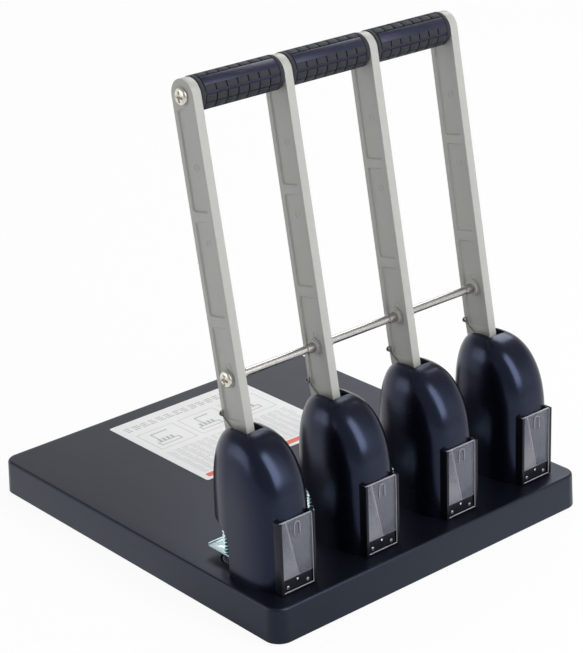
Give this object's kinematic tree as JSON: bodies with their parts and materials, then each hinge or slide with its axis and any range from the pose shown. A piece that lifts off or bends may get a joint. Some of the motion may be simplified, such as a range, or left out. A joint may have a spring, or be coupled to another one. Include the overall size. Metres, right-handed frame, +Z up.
{
  "type": "heavy duty hole punch",
  "caption": "Desk paper punch with a row of hooded punch heads on a flat base, worked together by one long lever with grey arms, rubber grips and a tie rod.",
  "frame": {"origin": "under the middle of the base, at the level of the feet", "axes": "+X along the row of punch heads, +Y from the window side to the label side, +Z up"},
  "size_m": [0.3076, 0.339, 0.3785],
  "materials": {
    "base_black": "fine moulded texture, satin",
    "hood_black": "satin gloss moulding",
    "window_frame_black": "satin moulding",
    "clear_window": "clear plastic pane",
    "arm_grey": "light grey paint on a die casting",
    "zinc_plate": "zinc plated",
    "nickel": "nickel plated",
    "tool_steel": "ground steel",
    "bronze": "sintered bronze",
    "grip_rubber": "moulded pads",
    "foot_rubber": "matte",
    "label_white": "printed film",
    "disc_plastic": "moulded, matte"
  },
  "bodies": {
    "base": {"base_cover": "base_black", "hood_1": "hood_black", "hood_2": "hood_black", "hood_3": "hood_black", "hood_4": "hood_black", "window_frame_1": "window_frame_black", "window_frame_2": "window_frame_black", "window_frame_3": "window_frame_black", "window_frame_4": "window_frame_black", "base_plate": "zinc_plate", "frame_bolts": "zinc_plate", "head_frame_1": "zinc_plate", "head_frame_2": "zinc_plate", "head_frame_3": "zinc_plate", "head_frame_4": "zinc_plate", "presser_springs_1": "zinc_plate", "presser_springs_2": "zinc_plate", "presser_springs_3": "zinc_plate", "presser_springs_4": "zinc_plate", "base_screws": "nickel", "hood_screws": "nickel", "window_screws": "nickel", "pivot_pins": "tool_steel", "pivot_clips": "tool_steel", "guide_bushes": "bronze", "rubber_feet": "foot_rubber", "instruction_label": "label_white", "cutting_discs": "disc_plastic"},
    "lever": {"lever_arm_1": "arm_grey", "lever_arm_2": "arm_grey", "lever_arm_3": "arm_grey", "lever_arm_4": "arm_grey", "return_spring_1": "nickel", "return_spring_2": "nickel", "return_spring_3": "nickel", "return_spring_4": "nickel", "crank_pins": "tool_steel", "handle_bar": "tool_steel", "grip_1": "grip_rubber", "grip_2": "grip_rubber", "grip_3": "grip_rubber", "tie_rod": "nickel", "handle_screws": "nickel", "tie_rod_screws": "nickel"},
    "punch_1": {"punch_holder_1": "tool_steel", "punch_pin_1": "tool_steel"},
    "presser_1": {"presser_plate_1": "zinc_plate"},
    "window_1": {"chip_window_1": "clear_window"},
    "punch_2": {"punch_holder_2": "tool_steel", "punch_pin_2": "tool_steel"},
    "presser_2": {"presser_plate_2": "zinc_plate"},
    "window_2": {"chip_window_2": "clear_window"},
    "punch_3": {"punch_holder_3": "tool_steel", "punch_pin_3": "tool_steel"},
    "presser_3": {"presser_plate_3": "zinc_plate"},
    "window_3": {"chip_window_3": "clear_window"},
    "punch_4": {"punch_holder_4": "tool_steel", "punch_pin_4": "tool_steel"},
    "presser_4": {"presser_plate_4": "zinc_plate"},
    "window_4": {"chip_window_4": "clear_window"}
  },
  "joints": [
    {"name": "lever_swing", "type": "hinge", "parent": "base", "child": "lever", "pos_m": [0, -0.12425, 0.103], "axis": [-1, 0, 0], "range_deg": [0, 60], "stiffness_Nm_per_rad": 1.5, "springref_deg": -45.84},
    {"name": "punch_1_stroke", "type": "slide", "parent": "base", "child": "punch_1", "axis": [0, 0, -1], "range_m": [0, 0.0361]},
    {"name": "presser_1_lift", "type": "slide", "parent": "base", "child": "presser_1", "axis": [0, 0, 1], "range_m": [0, 0.016], "stiffness_N_per_m": 400, "springref_m": -0.006, "deforming": ["presser_springs_1"]},
    {"name": "window_1_slide", "type": "slide", "parent": "base", "child": "window_1", "axis": [0, 0, 1], "range_m": [0, 0.046]},
    {"name": "punch_2_stroke", "type": "slide", "parent": "base", "child": "punch_2", "axis": [0, 0, -1], "range_m": [0, 0.0361]},
    {"name": "presser_2_lift", "type": "slide", "parent": "base", "child": "presser_2", "axis": [0, 0, 1], "range_m": [0, 0.016], "stiffness_N_per_m": 400, "springref_m": -0.006, "deforming": ["presser_springs_2"]},
    {"name": "window_2_slide", "type": "slide", "parent": "base", "child": "window_2", "axis": [0, 0, 1], "range_m": [0, 0.046]},
    {"name": "punch_3_stroke", "type": "slide", "parent": "base", "child": "punch_3", "axis": [0, 0, -1], "range_m": [0, 0.0361]},
    {"name": "presser_3_lift", "type": "slide", "parent": "base", "child": "presser_3", "axis": [0, 0, 1], "range_m": [0, 0.016], "stiffness_N_per_m": 400, "springref_m": -0.006, "deforming": ["presser_springs_3"]},
    {"name": "window_3_slide", "type": "slide", "parent": "base", "child": "window_3", "axis": [0, 0, 1], "range_m": [0, 0.046]},
    {"name": "punch_4_stroke", "type": "slide", "parent": "base", "child": "punch_4", "axis": [0, 0, -1], "range_m": [0, 0.0361]},
    {"name": "presser_4_lift", "type": "slide", "parent": "base", "child": "presser_4", "axis": [0, 0, 1], "range_m": [0, 0.016], "stiffness_N_per_m": 400, "springref_m": -0.006, "deforming": ["presser_springs_4"]},
    {"name": "window_4_slide", "type": "slide", "parent": "base", "child": "window_4", "axis": [0, 0, 1], "range_m": [0, 0.046]}
  ],
  "couplings": [
    {"joint": "punch_1_stroke", "follows": "lever_swing", "m_per_rad": 0.034377},
    {"joint": "punch_2_stroke", "follows": "lever_swing", "m_per_rad": 0.034377},
    {"joint": "punch_3_stroke", "follows": "lever_swing", "m_per_rad": 0.034377},
    {"joint": "punch_4_stroke", "follows": "lever_swing", "m_per_rad": 0.034377}
  ]
}
